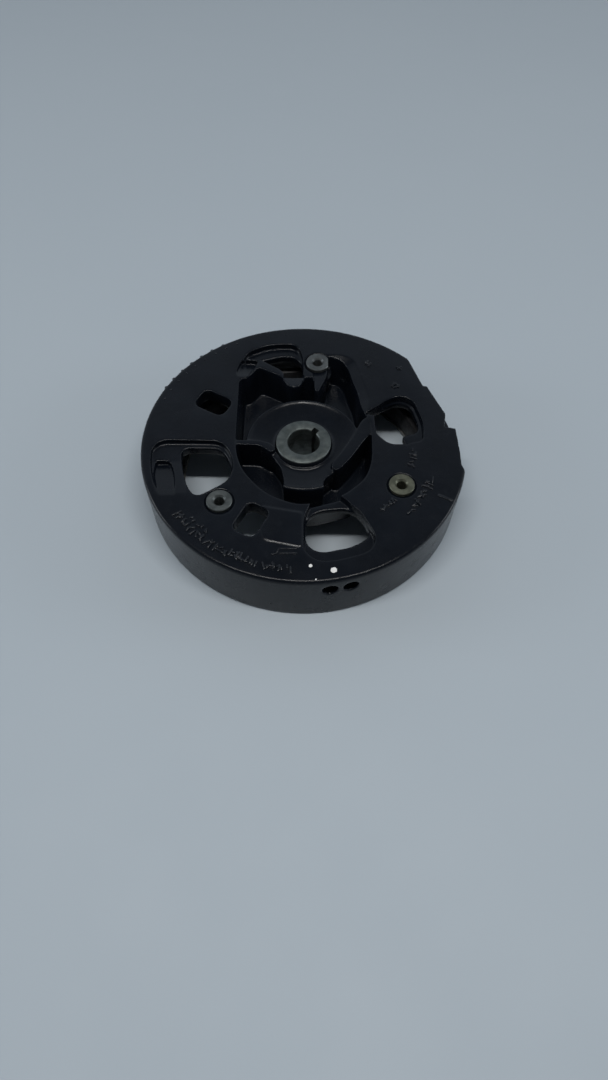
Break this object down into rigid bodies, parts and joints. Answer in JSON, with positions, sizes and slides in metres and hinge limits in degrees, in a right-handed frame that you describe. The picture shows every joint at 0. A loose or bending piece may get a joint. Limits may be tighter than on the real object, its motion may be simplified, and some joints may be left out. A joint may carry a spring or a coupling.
{
  "type": "magneto flywheel",
  "caption": "Round cast magneto flywheel with a keyed steel hub, a lobed bowl, viewing windows, threaded starter inserts and a magnet ring inside the rim.",
  "frame": {"origin": "on the axis of rotation, at the plane the rim stands on", "axes": "+Z along the axis of rotation, up to the starter side; +X and +Y in the plane of the wheel, with the keyway at 51 degrees from +X towards +Y"},
  "size_m": [0.1646, 0.165, 0.033],
  "materials": {
    "painted_casting": "satin",
    "hub_steel": "satin",
    "insert_steel": "satin",
    "back_iron": "matte",
    "ferrite": "matte",
    "resin": "matte",
    "retainer_steel": "satin",
    "screw_steel": "satin"
  },
  "bodies": {
    "root": {"casting": "painted_casting", "steel_hub": "hub_steel", "threaded_insert_1": "insert_steel", "threaded_insert_2": "insert_steel", "threaded_insert_3": "insert_steel", "back_iron_ring": "back_iron", "magnet_1": "ferrite", "magnet_2": "ferrite", "magnet_3": "ferrite", "magnet_4": "ferrite", "magnet_5": "ferrite", "magnet_6": "ferrite", "magnet_spacer_1": "resin", "magnet_spacer_2": "resin", "magnet_spacer_3": "resin", "magnet_spacer_4": "resin", "magnet_spacer_5": "resin", "magnet_spacer_6": "resin", "magnet_retainer_ring": "retainer_steel", "retainer_screw_1": "screw_steel", "retainer_screw_2": "screw_steel", "retainer_screw_3": "screw_steel", "retainer_screw_4": "screw_steel", "retainer_screw_5": "screw_steel", "retainer_screw_6": "screw_steel", "trigger_magnet_carrier": "resin", "trigger_magnet_1": "ferrite", "trigger_magnet_2": "ferrite", "trigger_magnet_3": "ferrite", "trigger_magnet_4": "ferrite"}
  },
  "joints": []
}
